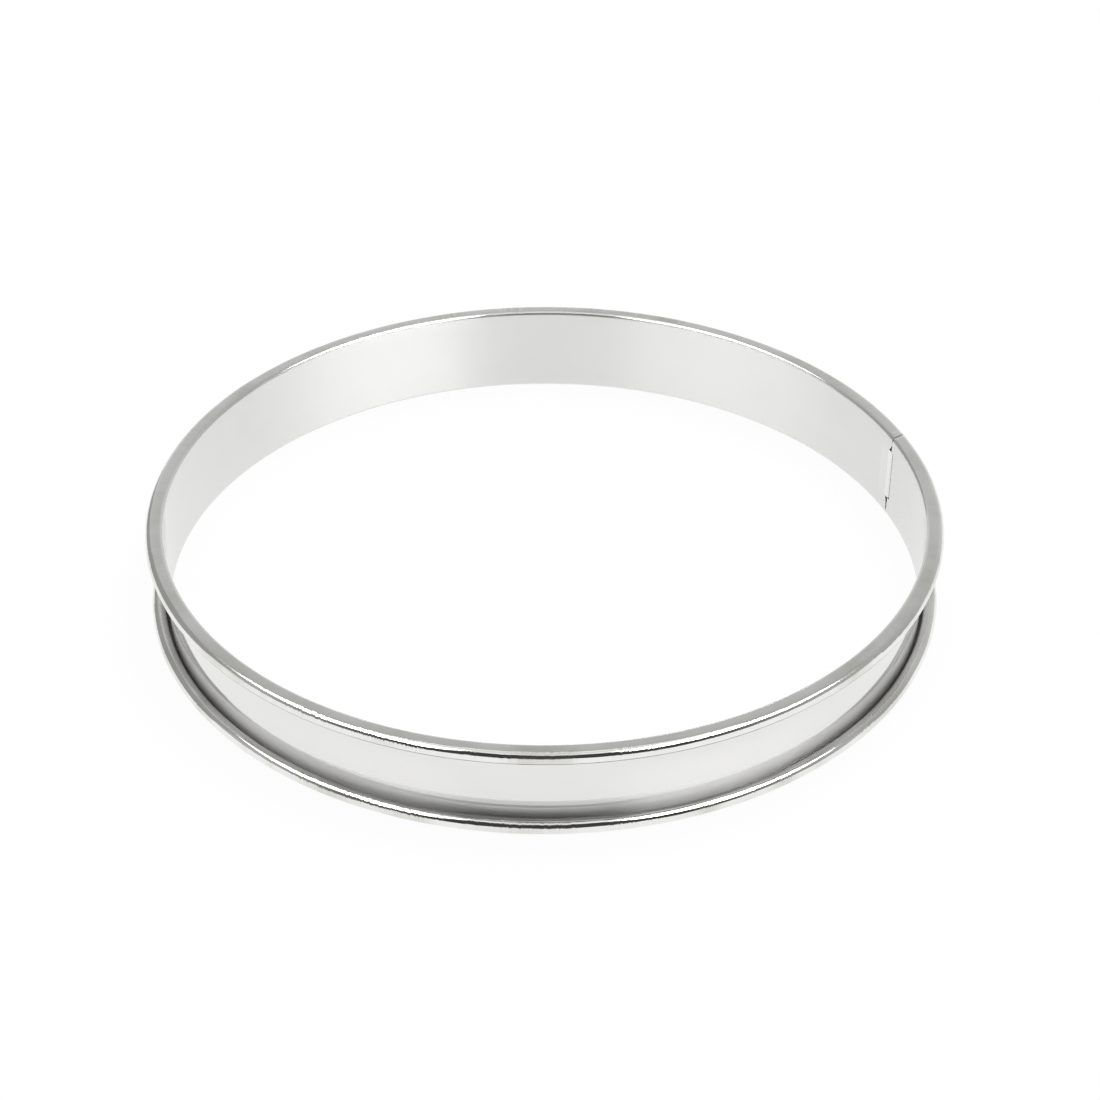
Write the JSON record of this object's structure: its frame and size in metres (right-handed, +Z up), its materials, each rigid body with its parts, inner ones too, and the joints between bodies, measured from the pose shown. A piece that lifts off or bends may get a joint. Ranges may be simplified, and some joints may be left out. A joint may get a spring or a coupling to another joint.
{
  "type": "flan ring",
  "caption": "Round open-bottomed baking ring of tinned sheet with outward rolled edges and a folded seam.",
  "frame": {"origin": "on the ring's axis, in the plane that its lower rolled edge rests on", "axes": "+Z up along the ring's axis; the seam lies 18 degrees from +X towards +Y"},
  "size_m": [0.2094, 0.2094, 0.025],
  "materials": {
    "tinned_steel": "bright tinned sheet steel, smooth and lightly stained on the rolled edges"
  },
  "bodies": {
    "root": {"ring": "tinned_steel"}
  },
  "joints": []
}
